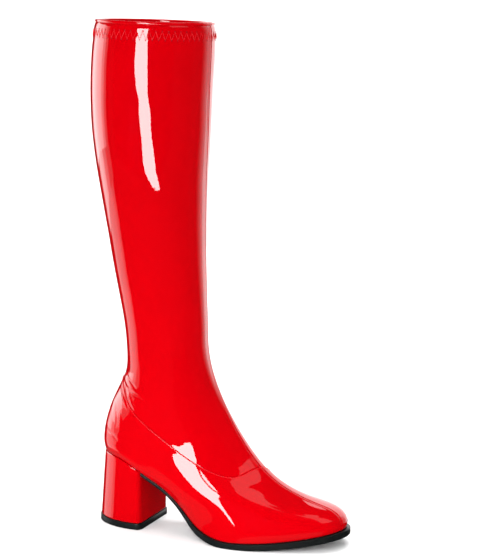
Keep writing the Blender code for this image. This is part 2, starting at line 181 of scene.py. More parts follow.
# Collar
COLLAR_SLOPE = 0.034        # fall of the worn-in collar from the back to the front
SLOPE_START = 0.36          # height where that fall begins
COLLAR_MIDDLE = 0.031       # place along the boot that keeps its height
PATENT = 0.0009             # thickness of the patent and its backing
BEAD = 0.0027               # rolled edge on top
BEAD_PROUD = 0.0006
BEAD_GROOVE = 0.0003
BEAD_GROOVE_WIDTH = 0.0006
BEAD_ROW_GAPS = (0.0010, 0.0005)
HEM_PROUD = 0.0004
HEM_RISE = 2.4              # the hem has its full height at so many beads below the top
HEM_FADE = (0.8, 1.15)      # and loses it between these shares of HEM_END
HEM_START = 0.018           # rows lie closer together from this far below the top
HEM_END = 0.0155            # where the hem has run out, below the top
FACING = 0.0130             # turned edge on the inside
FACING_ROWS = (0.0004, 0.0012, 0.003, 0.007, 0.0115, FACING)
FACING_ROUND = 0.0004       # how much its top is rounded
FACING_EDGE = 0.0002        # height of the step where it ends
LINING_TOP = 0.0006         # the lining begins this far below it
INNER_LEG_TOP = 0.006       # and the even rows of the inside this far
STITCH_TOP = 0.0078         # zigzag's upper points, below the top
STITCH_BOTTOM = 0.0151
STITCH_PULL = 0.00006       # ripple that the stitches pull into the hem
STITCH_PULL_WIDTH = 0.0030
STITCH_STEPS = 5            # points on each leg of the zigzag
THREAD_SIDES = 6
SPOT_SEGMENTS = 10
SPOT_RINGS = 6
HOLE_DEPTH = 0.25           # height of the dark spot of painted shade on each needle hole, as a share of its width
HOLE_CHANCE = (0.7, 7)      # smallest share of their full size that the holes vary to, and the seed
STITCH_CHANCE = (0.85, 3)   # and the same for the stitches of the lower foot's seam
STITCH_SUNK = 0.45          # shares of the thread: how deep its corners lie, and its legs' rise over them
STITCH_ARCH = 0.75
LINING_GAP = 0.00005

# Faint unevenness of stretched patent
SLOW_WAVE = 0.00011
QUICK_WAVE = 0.00004
FOOT_WAVE_SHARE = 0.7
WAVE_START = (0.004, 0.03)  # distances between which it sets in, below the collar's top,
WAVE_SEAM = (0, 0.004)      # from the lower foot's seam
WAVE_FEATHER = (0.001, 0.006)   # and above the feather line

# Profiles from the bottom up. Sole and sock: distance out from the edge, share of the thickness, extra height
SOLE_PROFILE = (
    (-0.0011, 0.0, 0.0), (-0.0006, 0.0, 0.0001), (-0.00025, 0.0, 0.0003), (-0.00005, 0.0, 0.0007),
    (0.0, 0.0, 0.0012), (0.0, 0.5, 0.0), (0.0, 1.0, -0.0010), (-0.00006, 1.0, -0.0006),
    (-0.0002, 1.0, -0.0003), (-0.0005, 1.0, -0.0001), (-0.0009, 1.0, 0.0), (-0.0016, 1.0, 0.0),
)
SOCK_PROFILE = ((0.0, 0.0, 0.0), (0.0, 0.0, 0.0014), (-0.0003, 0.0, 0.0019), (-0.0009, 1.0, 0.0))
# Heel: depth from the seat (0) to the lift (1), distance out. Lift: distance out, height
HEEL_PROFILE = (
    (1.0, -0.0005), (0.996, -0.0002), (0.990, 0.0), (0.980, 0.0), (0.960, 0.0), (0.75, 0.0), (0.5, 0.0),
    (0.25, 0.0), (0.040, 0.0), (0.022, 0.0), (0.012, 0.0), (0.005, -0.0002), (0.0, -0.0005),
)
LIFT_PROFILE = (
    (-0.0004, FLOOR), (-0.0001, FLOOR + 0.0002), (0.0, FLOOR + 0.0006),
    (0.0, LIFT_THICKNESS - 0.0004), (-0.0001, LIFT_THICKNESS - 0.0001), (-0.0004, LIFT_THICKNESS),
)

# Ankle creases
MM_PER_METRE = 1000
CREASE_STEPS = 33           # points along each crease
CREASE_REACH = 3            # widths away at which a crease no longer counts
CREASE_END = 0.03           # a crease's ends are cut off at this share, where it is shallow but not flat
CREASE_FADE = 0.6           # below 1, a crease keeps its depth nearer to its ends

# Each crease: levels in mm at the ring's back and angles in degrees round from the back, for
# its start, middle and end. width: how far it spreads. height: ridge above 0, trough below, both in mm.
CREASE_COLUMNS = ("level_1", "angle_1", "level_2", "angle_2", "level_3", "angle_3", "width", "height")
CREASES = (
    (139.8, 39, 137.2, 51, 135.3, 62, 1.0, -0.8),
    (137.2, 30, 133.5, 51, 132.2, 72, 2.2, 0.9),
    (129.7, 50, 129.7, 62, 129.0, 76, 0.9, -0.6),
    (133.4, 35, 127.1, 45, 120.2, 54, 1.2, -1.0),
    (132.8, 26, 126.0, 38, 118.3, 52, 1.3, 0.7),
    (129.0, 51, 125.0, 57, 120.2, 64, 1.1, 0.6),
    (125.2, 57, 123.5, 60, 122.1, 63, 0.7, -0.4),
    (114.5, 32, 107.0, 43.5, 96.8, 40, 1.5, -0.3),
    (110.1, 44, 104.4, 47, 94.9, 44, 1.2, 0.35),
    (88.6, 27, 88.6, 36, 85.4, 40, 1.2, -0.4),
)


def columns_of(names, rows):
    """Give a table's columns by name."""
    return dict(zip(names, np.array(rows, dtype=float).T))


def spline(knots, values, at):
    """Natural cubic spline. values: one column for all of at, or one column for each of its points."""
    knots = np.asarray(knots, dtype=float)
    values = np.asarray(values, dtype=float)
    if values.ndim == 1:
        values = values[:, None]
    step = np.diff(knots)
    system = np.eye(len(knots))
    bend = np.zeros(values.shape)
    for i in range(1, len(knots) - 1):
        system[i, i - 1:i + 2] = step[i - 1], 2 * (step[i - 1] + step[i]), step[i]
        bend[i] = 6 * ((values[i + 1] - values[i]) / step[i] - (values[i] - values[i - 1]) / step[i - 1])
    second = np.linalg.solve(system, bend)
    k = np.clip(np.searchsorted(knots, at, side="right") - 1, 0, len(knots) - 2)
    column = np.arange(len(at)) if values.shape[1] > 1 else 0
    b = (at - knots[k]) / step[k]
    a = 1 - b
    curved = (a ** 3 - a) * second[k, column] + (b ** 3 - b) * second[k + 1, column]
    return a * values[k, column] + b * values[k + 1, column] + curved * step[k] ** 2 / 6


FEATHER_LINE = columns_of(FEATHER_COLUMNS, FEATHER)
FOOT_RING = columns_of(FOOT_RING_COLUMNS, FOOT_RINGS)
LEG_RING = columns_of(LEG_RING_COLUMNS, LEG_RINGS)
SEAM_LINE = columns_of(SEAM_COLUMNS, SEAM)

BALL_HEIGHT = SOLE_THICKNESS + FIT_GAP
ANKLE_HEIGHT = SEAT_HEIGHT + ANKLE_RISE
COLLAR_HEIGHT = ANKLE_HEIGHT + LEG_RISE
HEEL_MIDDLE = HEEL_LENGTH / 2
LEG_START = ANKLE_HEIGHT + 0.05 * LEG_RISE    # rows are level from here up


def feather(column, share):
    """Read one column of the feather line at shares of its length."""
    return spline(FEATHER_LINE["station"], FEATHER_LINE[column], share)


def feather_x(share):
    """Give the feather line's place along the foot, from the middle of the heel's bottom."""
    return HEEL_FLARE - HEEL_MIDDLE + FOOT_LENGTH * share


def feather_z(share):
    """Give the feather line's height."""
    fall = feather("drop", share) * (SEAT_HEIGHT - BALL_HEIGHT)
    return BALL_HEIGHT + fall + feather("spring", share) * TOE_SPRING


def arch_of(share):
    """Give how far the feather line runs from the straight line between its ends."""
    ends = feather_z(np.array([0.0, 1.0]))
    return feather_z(share) - (ends[0] + (ends[1] - ends[0]) * share)


def ring_levels():
    """Give each ring's height at its back, from the feather line up."""
    foot = SEAT_HEIGHT + FOOT_RING["level"] * ANKLE_RISE
    leg = ANKLE_HEIGHT + LEG_RING["level"] * LEG_RISE
    return np.concatenate([[SEAT_HEIGHT], foot, leg])


def ring_places(share):
    """Give x, z, middle line and spread of every ring at shares of the rings' lengths."""
    toe_height = feather_z(np.array([1.0]))[0]
    arch = arch_of(share)
    back_edge = feather_x(np.zeros(1))[0]
    x = [feather_x(share)]
    z = [feather_z(share)]
    middle = [feather("shift", share) * FOOT_WIDTH]
    spread = [feather("width", share) * FOOT_WIDTH]
    widths = [FOOT_RING[name] for name in FOOT_RING_COLUMNS[-len(WIDTH_STATIONS):]]
    for i, level in enumerate(FOOT_RING["level"]):
        back = back_edge + FOOT_RING["back"][i] * FOOT_LENGTH
        front = back_edge + FOOT_RING["front"][i] * FOOT_LENGTH
        low = SEAT_HEIGHT + level * ANKLE_RISE
        high = toe_height + FOOT_RING["rise"][i] * (ANKLE_HEIGHT - toe_height)
        shifts = (0.0, FOOT_RING["mid_shift"][i], FOOT_RING["front_shift"][i])
        x.append(back + (front - back) * share)
        z.append(low + (high - low) * share + FOOT_RING["sag"][i] * arch)
        middle.append(spline((0.0, 0.5, 1.0), shifts, share) * FOOT_WIDTH)
        spread.append(spline(WIDTH_STATIONS, [w[i] for w in widths], share) * FOOT_WIDTH)
    for level, centre, depth, width in zip(*[LEG_RING[name] for name in LEG_RING_COLUMNS[:4]]):
        x.append(back_edge + centre * FOOT_LENGTH + depth * CALF_WIDTH * (share - 0.5))
        z.append(np.full(len(share), ANKLE_HEIGHT + level * LEG_RISE))
        middle.append(np.zeros(len(share)))
        spread.append(np.full(len(share), width * CALF_WIDTH / 2))
    return [np.array(rows) for rows in (x, z, middle, spread)]


def form_points(level, angle):
    """Points of the outer form. level: height at the ring's back. angle: 0 back, pi at the front seam."""
    level = np.asarray(level, dtype=float)
    turns = np.radians(np.concatenate([FOOT_RING["turn"][:1], FOOT_RING["turn"], LEG_RING["turn"]]))
    turn = spline(ring_levels(), turns, level)
    angle = angle + turn * (1 - np.cos(angle)) / 2
    share = (1 - np.cos(angle)) / 2
    x, z, middle, spread = [spline(ring_levels(), rows, level) for rows in ring_places(share)]
    z = z - COLLAR_SLOPE * (x - COLLAR_MIDDLE) * ease(level, SLOPE_START, COLLAR_HEIGHT - STITCH_BOTTOM)
    return np.stack([x, middle - spread * np.sin(angle), z], axis=-1)


def unit(vectors):
    """The vectors at length 1."""
    return vectors / np.linalg.norm(vectors, axis=-1, keepdims=True)


def form_normals(level, angle):
    """Unit normals of the outer form, pointing out."""
    along = form_points(level, angle + ANGLE_NUDGE) - form_points(level, angle - ANGLE_NUDGE)
    up = form_points(level + LEVEL_NUDGE, angle) - form_points(level - LEVEL_NUDGE, angle)
    return unit(np.cross(along, up))


def seam_level(angle):
    """Height, at the ring's back, of the seam between shaft and lower foot."""
    fold = 180 - np.abs(180 - np.degrees(angle))
    return SEAT_HEIGHT + ANKLE_RISE * spline(SEAM_LINE["angle"], SEAM_LINE["level"], fold)


def bump(distance, width):
    """Soft bell of height 1, at a distance from its middle."""
    return np.exp(-(distance / width) ** 2)


def ease(value, low, high):
    """Go smoothly from 0 at low to 1 at high."""
    t = np.clip((value - low) / (high - low), 0.0, 1.0)
    return t * t * (3 - 2 * t)


def ring_angles(levels_front, levels_back):
    """Angles of every column for each row, crowded at set distances from the front and back seams."""
    cluster = np.array(SEAM_CLUSTER)
    rows = []
    for front, back in zip(levels_front, levels_back):
        scale = []
        for level, middle in ((back, 0.0), (front, pi)):
            ends = form_points(np.full(2, level), np.array([middle - ANGLE_NUDGE, middle + ANGLE_NUDGE]))
            scale.append(np.linalg.norm(ends[1] - ends[0]) / (2 * ANGLE_NUDGE))
        near_back = cluster / scale[0]
        near_front = pi - cluster[::-1] / scale[1]
        even = np.linspace(near_back[-1], near_front[0], HALF_COLUMNS + 1 - 2 * len(cluster))
        half = np.concatenate([[0.0], near_back[:-1], even, near_front[1:], [pi]])
        rows.append(np.concatenate([half, 2 * pi - half[-2:0:-1]]))
    return np.array(rows)


def seam_distance(angles):
    """Each column's distance from the nearer of the front and back seams, exact beside the seams."""
    half = angles.shape[1] // 2
    column = np.arange(angles.shape[1])
    steps = np.minimum(column % half, (-column) % half)
    known = np.concatenate([[0.0], SEAM_CLUSTER])
    distance = np.where(steps < len(known), known[np.minimum(steps, len(known) - 1)], 1.0)
    return np.broadcast_to(distance, angles.shape)


def crease_relief(points):
    """How far the creases lift or lower each of the points."""
    total = np.zeros(len(points))
    t = np.linspace(0, 1, CREASE_STEPS)
    weights = ((1 - t) ** 2, 2 * t * (1 - t), t ** 2)
    fade = np.sin(pi * np.clip(t * (1 - 2 * CREASE_END) + CREASE_END, 0, 1)) ** CREASE_FADE
    for row in CREASES:
        crease = dict(zip(CREASE_COLUMNS, row))
        level = sum(w * crease[f"level_{i}"] for i, w in enumerate(weights, 1)) / MM_PER_METRE
        angle = np.radians(sum(w * crease[f"angle_{i}"] for i, w in enumerate(weights, 1)))
        line = form_points(level, angle)
        width = crease["width"] / MM_PER_METRE
        low = line.min(axis=0) - CREASE_REACH * width
        high = line.max(axis=0) + CREASE_REACH * width
        near = np.flatnonzero(np.all((points > low) & (points < high), axis=1))
        gaps = np.linalg.norm(points[near][:, None, :] - line[None], axis=-1)
        strength = bump(gaps, width) * fade
        total[near] += crease["height"] / MM_PER_METRE * strength.max(axis=1)
    return total


def seam_relief(distance):
    """A narrow groove with a soft lip on each side."""
    lip = LIP_HEIGHT * bump(distance - LIP_PLACE, LIP_WIDTH)
    return lip - GROOVE_DEPTH * bump(distance, GROOVE_WIDTH)


def collar_relief(below, angle, pitch_count):
    """Rolled edge, groove, hem and the ripple that the stitches pull in, by the distance below the top."""
    bead = BEAD_PROUD * np.sqrt(np.clip(1 - ((below - BEAD / 2) / (BEAD / 2)) ** 2, 0, 1))
    groove = BEAD_GROOVE * bump(below - BEAD, BEAD_GROOVE_WIDTH)
    fade = ease(below, HEM_FADE[0] * HEM_END, HEM_FADE[1] * HEM_END)
    hem = HEM_PROUD * ease(below, BEAD, HEM_RISE * BEAD) * (1 - fade)
    middle = (STITCH_TOP + STITCH_BOTTOM) / 2
    pull = bump(below - middle, STITCH_PULL_WIDTH) * (0.5 + 0.5 * np.cos(angle * pitch_count))
    return bead - groove + hem - STITCH_PULL * pull


def waves(points):
    """Faint unevenness of stretched patent, from crossing waves with rates in radians per metre."""
    x, y, z = points.T
    slow = np.sin(z * 61 + 2.1 * np.sin(x * 43 + 0.7)) * np.cos(y * 52 + z * 17)
    quick = np.sin(z * 139 + x * 88 + 1.3) * np.sin(y * 97 - z * 31 + 0.4)
    return SLOW_WAVE * slow + QUICK_WAVE * quick


def edge_turn(distance):
    """How far an edge has turned in, from 1 on the edge to 0 at EDGE_RUN away from it."""
    return 1 - np.sqrt(np.clip(1 - (1 - np.clip(distance / EDGE_RUN, 0, 1)) ** 2, 0, 1))


def make_mesh(name, verts, faces, material):
    """A closed smooth mesh object, its faces turned outwards."""
    mesh = bpy.data.meshes.new(name)
    mesh.from_pydata(np.asarray(verts).tolist(), [], faces)
    work = bmesh.new()
    work.from_mesh(mesh)
    bmesh.ops.remove_doubles(work, verts=work.verts, dist=MERGE_DISTANCE)
    bmesh.ops.recalc_face_normals(work, faces=work.faces)
    if work.calc_volume(signed=True) < 0:
        bmesh.ops.reverse_faces(work, faces=work.faces)
    work.to_mesh(mesh)
    work.free()
    mesh.materials.append(material)
    mesh.shade_smooth()
    mesh.set_sharp_from_angle(angle=SHARP_EDGE)
    return in_scene(name, mesh)


def in_scene(name, data):
    """An object of a mesh, a light or a camera, linked to the scene."""
    made = bpy.data.objects.new(name, data)
    bpy.context.scene.collection.objects.link(made)
    return made


def ring_faces(row_count, column_count, closed):
    """Quads between rows of a closed ring, and from the last row to the first if closed."""
    row = np.arange(row_count if closed else row_count - 1)
    column = np.arange(column_count)
    low = (row * column_count)[:, None]
    high = ((row + 1) % row_count * column_count)[:, None]
    ahead = (column + 1) % column_count
    quads = np.stack([low + column, low + ahead, high + ahead, high + column], axis=-1)
    return quads.reshape(-1, 4).tolist()


def wall_object(name, outside, inside, material):
    """A closed wall from rings that run up its outside and down its inside."""
    rings = np.concatenate([outside, inside])
    faces = ring_faces(rings.shape[0], rings.shape[1], True)
    return make_mesh(name, rings.reshape(-1, 3), faces, material)


def on_form(levels, angles):
    """Points of the form and its normals there, in one list for all rows."""
    levels, angles = levels.ravel(), angles.ravel()
    return form_points(levels, angles), form_normals(levels, angles)


def flatten_row(normals, row, shape):
    """Turn one row's normals level, so that its points keep their height when they move along them."""
    of_row = np.arange(len(normals)) // shape[1] == row
    normals[of_row] *= (1, 1, 0)
    return of_row, unit(normals)


def moved(base, normals, offset, shape):
    """Rings of points, moved off the form along its normals."""
    return (base + normals * np.broadcast_to(offset, shape).reshape(-1, 1)).reshape(shape + (3,))


def node_of(tree, kind, **values):
    """Add a node and set its properties."""
    node = tree.nodes.new(kind)
    for name, value in values.items():
        setattr(node, name, value)
    return node


def new_material(name, colour, roughness, specular=0.5, coat=0.0, coat_roughness=0.03):
    """A Principled material, its shader node, and the tree and object coordinates for its patterns."""
    material = bpy.data.materials.new(name)
    material.use_nodes = True
    tree = material.node_tree
    shader = tree.nodes["Principled BSDF"]
    shader.inputs["Base Color"].default_value = (*colour, 1.0)
    shader.inputs["Roughness"].default_value = roughness
    shader.inputs["Specular IOR Level"].default_value = specular
    shader.inputs["Coat Weight"].default_value = coat
    shader.inputs["Coat Roughness"].default_value = coat_roughness
    return material, shader, tree, node_of(tree, "ShaderNodeTexCoord").outputs["Object"]


def noise_of(tree, source, scale, detail):
    """The height of a noise texture of the given scale, per metre."""
    noise = node_of(tree, "ShaderNodeTexNoise")
    noise.inputs["Scale"].default_value = scale
    noise.inputs["Detail"].default_value = detail
    tree.links.new(source, noise.inputs["Vector"])
    return noise.outputs["Fac"]


def add_bump(tree, height, normal, distance):
    """Give a shader's normal socket the relief of a height from 0 to 1."""
    node = node_of(tree, "ShaderNodeBump")
    node.inputs["Distance"].default_value = distance
    tree.links.new(height, node.inputs["Height"])
    tree.links.new(node.outputs["Normal"], normal)


def blend_colours(tree, factor, first, second, colour):
    """Give a shader's colour socket a mix of two colours."""
    mix = node_of(tree, "ShaderNodeMix", data_type="RGBA")
    tree.links.new(factor, mix.inputs["Factor"])
    mix.inputs["A"].default_value = (*first, 1.0)
    mix.inputs["B"].default_value = (*second, 1.0)
    tree.links.new(mix.outputs["Result"], colour)


def finish(name):
    """Mark a function as the maker of a named material, which is made once and then given again."""
    def keep(build):
        """Wrap the maker."""
        return lambda settings: bpy.data.materials.get(name) or build(name, settings)
    return keep


@finish("patent_red")
def patent_material(name, settings):
    """Red patent: a coloured base under a wet clear coat, with the faint peel of a sprayed film."""
    colour = tuple(settings.colour)
    material, shader, tree, source = new_material(
        name, colour, roughness=0.4, specular=0.0, coat=1.0, coat_roughness=settings.coat_roughness)
    shader.inputs["Coat IOR"].default_value = 1.52
    deep = tuple(c * 0.9 for c in colour)
    shade = noise_of(tree, source, scale=35.0, detail=3.0)
    blend_colours(tree, shade, deep, colour, shader.inputs["Base Color"])
    peel = noise_of(tree, source, scale=420.0, detail=2.0)
    add_bump(tree, peel, shader.inputs["Coat Normal"], settings.peel)
    return material


@finish("red_thread")
def thread_material(name, settings):
    """Red polyester thread with its twist."""
    material, shader, tree, source = new_material(
        name, tuple(settings.thread_colour), roughness=0.45, specular=0.1)
    relief = noise_of(tree, source, scale=5200.0, detail=1.0)
    add_bump(tree, relief, shader.inputs["Normal"], distance=0.00008)
    return material


@finish("needle_hole")
def hole_shade_material(name, settings):
    """Painted shade of a needle hole: the dark finish of the spot laid over it."""
    material, shader, tree, source = new_material(
        name, tuple(settings.hole_shade_colour), roughness=0.9, specular=0.1)
    relief = noise_of(tree, source, scale=3000.0, detail=2.0)
    add_bump(tree, relief, shader.inputs["Normal"], distance=0.0001)
    return material


@finish("black_sole")
def sole_material(name, settings):
    """Black moulded sole: a satin skin with a fine pebble and pale clouds of dust at random."""
    colour = tuple(settings.colour)
    material, shader, tree, source = new_material(name, colour, roughness=0.34, specular=0.12)
    pale = tuple(c * 1.9 + 0.002 for c in colour)
    cloud = noise_of(tree, source, scale=90.0, detail=4.0)
    blend_colours(tree, cloud, colour, pale, shader.inputs["Base Color"])
    relief = noise_of(tree, source, scale=1500.0, detail=2.0)
    add_bump(tree, relief, shader.inputs["Normal"], distance=0.00005)
    return material


@finish("knit_lining")
def lining_material(name, settings):
    """Knit lining: fine wales along the leg over a soft tricot."""
    material, shader, tree, source = new_material(name, tuple(settings.colour), roughness=0.85)
    shader.inputs["Sheen Weight"].default_value = 0.3
    knit = node_of(tree, "ShaderNodeTexVoronoi", feature="SMOOTH_F1")
    knit.inputs["Scale"].default_value = 1100.0
    tree.links.new(source, knit.inputs["Vector"])
    add_bump(tree, knit.outputs["Distance"], shader.inputs["Normal"], distance=0.0001)
    return material


def make_row_table(row_functions):
    """Angles and levels of rows. row_functions: each gives a row's levels for its angles."""
    ends = [(rule(np.array([0.0]))[0], rule(np.array([pi]))[0]) for rule in row_functions]
    angles = ring_angles([e[1] for e in ends], [e[0] for e in ends])
    levels = np.array([rule(row) for rule, row in zip(row_functions, angles)])
    return levels, angles


def between(share, top, start=0.0):
    """Rule of a row at a share of the way up to a level, from start above the seam."""
    return lambda angle: seam_level(angle) + start + (top - seam_level(angle) - start) * share


def below_seam(share, end=0.0):
    """Rule of a row at a share of the way from the feather line up to end below the seam."""
    return lambda angle: SEAT_HEIGHT + (seam_level(angle) - end - SEAT_HEIGHT) * share


def level_row(level):
    """Rule of a level row."""
    return lambda angle: np.full(len(angle), level)


def near_seam(distance):
    """Rule of a row a short way above the seam, or below it."""
    return lambda angle: seam_level(angle) + distance


def collar_pitches(settings):
    """How many zigzags go round the collar."""
    angle = np.linspace(0, 2 * pi, COLLAR_STEPS + 1)
    ring = form_points(np.full(len(angle), COLLAR_HEIGHT - STITCH_TOP), angle)
    length = np.linalg.norm(np.diff(ring, axis=0), axis=1).sum()
    return round(length / settings.zigzag_pitch)


def shaft_offset(levels, angles, base, pitch_count):
    """Relief of the shaft's outside."""
    below = COLLAR_HEIGHT - levels.ravel()
    above = (levels - np.array([seam_level(row) for row in angles])).ravel()
    offset = collar_relief(below, angles.ravel(), pitch_count)
    offset += seam_relief(seam_distance(angles).ravel()) * ease(below, *SEAM_FADE)
    offset += crease_relief(base) * ease(above, 0, SEAM_REACH)
    offset += waves(base) * ease(below, *WAVE_START) * ease(above, *WAVE_SEAM)
    offset -= EDGE_ROLL * edge_turn(above)
    return offset


def make_shaft(settings):
    """The leg: patent folded over at the collar, down to the seam of the lower foot."""
    material = patent_material(settings.patent)
    rules = [near_seam(d) for d in SHAFT_SEAM_ROWS]
    rules += [between(s, LEG_START, SEAM_REACH) for s in np.linspace(0, 1, LOWER_LEG_ROWS)[1:]]
    hem_start = COLLAR_HEIGHT - HEM_START
    rules += [level_row(z) for z in np.linspace(LEG_START, hem_start, LEG_ROWS)[1:]]
    hem_end = COLLAR_HEIGHT - BEAD - BEAD_ROW_GAPS[0]
    rules += [level_row(z) for z in np.linspace(hem_start, hem_end, HEM_ROWS)[1:]]
    bead_rows = BEAD / 2 * (1 + np.cos(np.linspace(0, pi, BEAD_ROWS)))
    rules += [level_row(COLLAR_HEIGHT - b) for b in (BEAD + BEAD_ROW_GAPS[1], *bead_rows)]
    levels, angles = make_row_table(rules)
    base, normals = on_form(levels, angles)
    offset = shaft_offset(levels, angles, base, collar_pitches(settings.stitch))
    outside = moved(base, normals, offset.reshape(levels.shape), levels.shape)

    depths = [WALL - FACING_ROUND] + [WALL] * (len(FACING_ROWS) - 1)
    rules = [level_row(COLLAR_HEIGHT - b) for b in (*FACING_ROWS, FACING + FACING_EDGE)]
    inner_top = COLLAR_HEIGHT - FACING - INNER_LEG_TOP
    rules += [level_row(z) for z in np.linspace(inner_top, LEG_START, INNER_LEG_ROWS)]
    rules += [between(s, LEG_START) for s in np.linspace(1, 0, INNER_LOWER_LEG_ROWS)[1:]]
    depths += [PATENT] * (len(rules) - len(depths))
    levels, angles = make_row_table(rules)
    inside = moved(*on_form(levels, angles), -np.array(depths)[:, None], levels.shape)
    return wall_object("shaft", outside, inside, material)


def make_lower_foot(settings):
    """Counter and vamp in one, proud of the shaft, from the seam to the sole."""
    material = patent_material(settings.patent)
    rules = [below_seam(s, SEAM_REACH) for s in np.linspace(0, 1, FOOT_ROWS)]
    rules += [near_seam(-d) for d in FOOT_SEAM_ROWS]
    levels, angles = make_row_table(rules)
    base, normals = on_form(levels, angles)
    below = (np.array([seam_level(row) for row in angles]) - levels).ravel()
    above = (levels - SEAT_HEIGHT).ravel()
    offset = np.full(len(base), COUNTER_STEP)
    offset += seam_relief(seam_distance(angles).ravel())
    offset += crease_relief(base) * ease(below, 0, SEAM_REACH)
    offset += FOOT_WAVE_SHARE * waves(base) * ease(below, *WAVE_SEAM) * ease(above, *WAVE_FEATHER)
    offset -= (EDGE_ROLL + COUNTER_STEP) * edge_turn(below)
    first, normals = flatten_row(normals, 0, levels.shape)
    offset[first] -= FIT_GAP
    outside = moved(base, normals, offset.reshape(levels.shape), levels.shape)

    levels, angles = make_row_table([below_seam(s) for s in np.linspace(1, 0, INNER_FOOT_ROWS)])
    base, normals = on_form(levels, angles)
    _, normals = flatten_row(normals, len(levels) - 1, levels.shape)
    inside = moved(base, normals, -PATENT, levels.shape)
    return wall_object("lower_foot", outside, inside, material)


def make_lining(settings):
    """The knit that lines the boot, from the collar's facing to the insole."""
    material = lining_material(settings.lining)
    top = COLLAR_HEIGHT - FACING - LINING_TOP
    rules = [below_seam(s) for s in np.linspace(0, 1, INNER_FOOT_ROWS)]
    rules += [between(s, LEG_START) for s in np.linspace(0, 1, INNER_LOWER_LEG_ROWS)[1:]]
    rules += [level_row(z) for z in np.linspace(LEG_START, top, LINING_LEG_ROWS)[1:]]
    levels, angles = make_row_table(rules)
    base, normals = on_form(levels, angles)
    _, normals = flatten_row(normals, 0, levels.shape)
    outside = moved(base, normals, -(PATENT + LINING_GAP), levels.shape)
    inside = moved(base, normals, -WALL, levels.shape)
    return wall_object("lining", outside, inside[::-1], material)


def plan_edge(angle, out):
    """Points of the feather line's plan at angles, moved outwards, and their shares of its length."""
    def plan(at):
        """Points of the plan itself."""
        part = (1 - np.cos(at)) / 2
        side = feather("shift", part) * FOOT_WIDTH - feather("width", part) * FOOT_WIDTH * np.sin(at)
        return np.stack([feather_x(part), side], axis=-1)

    along = plan(angle + PLAN_NUDGE) - plan(angle - PLAN_NUDGE)
    outwards = unit(np.stack([along[:, 1], -along[:, 0]], axis=-1))
    return plan(angle) + outwards * np.asarray(out)[..., None], (1 - np.cos(angle)) / 2


def cross_strips(count, first, upward):
    """Faces across a loop that runs out along one side and home along the other."""
    faces = []
    for i in range(count // 2 - 1):
        a, b, c, d = first + i, first + i + 1, first + count - 2 - i, first + count - 1 - i
        faces.append((a, b, c, d) if upward else (d, c, b, a))
    return faces


def loops_object(name, loops, material):
    """A closed body from loops stacked from its bottom up."""
    count = len(loops[0])
    faces = ring_faces(len(loops), count, False)
    faces += cross_strips(count, 0, False) + cross_strips(count, (len(loops) - 1) * count, True)
    return make_mesh(name, np.concatenate(loops), faces, material)


def sole_ledge(share):
    """How far the sole stands out past the upper."""
    return SHANK_LEDGE + (SOLE_LEDGE - SHANK_LEDGE) * np.clip(feather("ledge", share), 0, 2)


def make_outsole(settings):
    """Unit sole: thin waist, full forepart with a rounded edge and a ledge round the upper."""
    start = BREAST_PLACE - HEEL_MIDDLE + FIT_GAP
    start_angle = np.arccos(1 - 2 * (start - feather_x(0.0)) / FOOT_LENGTH)
    angle = np.linspace(start_angle, 2 * pi - start_angle, SOLE_COLUMNS)
    share = (1 - np.cos(angle)) / 2
    top = feather_z(share) - FIT_GAP
    grown = feather("stout", share)
    bottom = np.maximum(top - SHANK_THICKNESS - (SOLE_THICKNESS - SHANK_THICKNESS) * grown, FLOOR)
    thick = top - bottom
    loops = []
    for out, part, lift in SOLE_PROFILE:
        edge, _ = plan_edge(angle, COUNTER_STEP + sole_ledge(share) + out)
        edge[:, 0] = np.maximum(edge[:, 0], start)
        edge[[0, -1], 0] = start
        loops.append(np.column_stack([edge, bottom + thick * part + lift]))
    return loops_object("sole_unit", loops, sole_material(settings.sole))


def make_insole(settings):
    """Sock over the insole board, crowned a little and rounded at its edge."""
    angle = np.linspace(SOCK_START, 2 * pi - SOCK_START, SOCK_COLUMNS)
    loops = []
    for out, part, lift in SOCK_PROFILE:
        edge, share = plan_edge(angle, np.full(len(angle), out - WALL - INSOLE_GAP))
        loops.append(np.column_stack([edge, feather_z(share) + INSOLE_THICKNESS * part + lift]))
    return loops_object("sock", loops, lining_material(settings.lining))


def heel_loop(depth, out, height):
    """One loop round the heel. depth: 0 at the seat, 1 at the bottom. height: None follows the seat."""
    end = BREAST_PLACE - HEEL_MIDDLE
    end_angle = np.arccos(1 - 2 * (end - feather_x(0.0)) / FOOT_LENGTH)
    angle = np.linspace(-end_angle, end_angle, HEEL_COLUMNS)
    edge, share = plan_edge(angle, np.full(len(angle), COUNTER_STEP + HEEL_LEDGE))
    start = edge[:, 0].min()
    bend = end - HEEL_CORNER
    x = edge[:, 0]
    side = np.sign(angle)
    over = np.clip((x - bend) / HEEL_CORNER, 0, 1)
    y = edge[:, 1] + side * HEEL_CORNER * (1 - np.sqrt(1 - over ** 2))
    top = feather_z(share) - FIT_GAP
    stretch = 1 + depth * (HEEL_LENGTH / (end - start) - 1)
    widen = 1 + depth * (HEEL_WIDTH / (y.max() - y.min()) - 1)
    back = start + depth * (-HEEL_MIDDLE - start)
    x = back + (x - start) * stretch
    y = y * widen
    middle = (x.min() + x.max()) / 2
    x = middle + (x - middle) * (1 + 2 * out / (x.max() - x.min()))
    y = y * (1 + 2 * out / (y.max() - y.min()))
    base = LIFT_THICKNESS + FIT_GAP
    z = base + (top - base) * (1 - depth) if height is None else np.full(len(x), height)
    return np.column_stack([x, y, z])


def make_heel(settings):
    """Block heel covered in the patent of the upper, its edges turned in under the seat and on the lift."""
    loops = [heel_loop(depth, out, None) for depth, out in HEEL_PROFILE]
    return loops_object("heel_block", loops, patent_material(settings.patent))


def make_top_lift(settings):
    """Hard black piece under the heel, its edge trimmed round."""
    loops = [heel_loop(1.0, LIFT_LEDGE + out, height) for out, height in LIFT_PROFILE]
    return loops_object("lift", loops, sole_material(settings.sole))


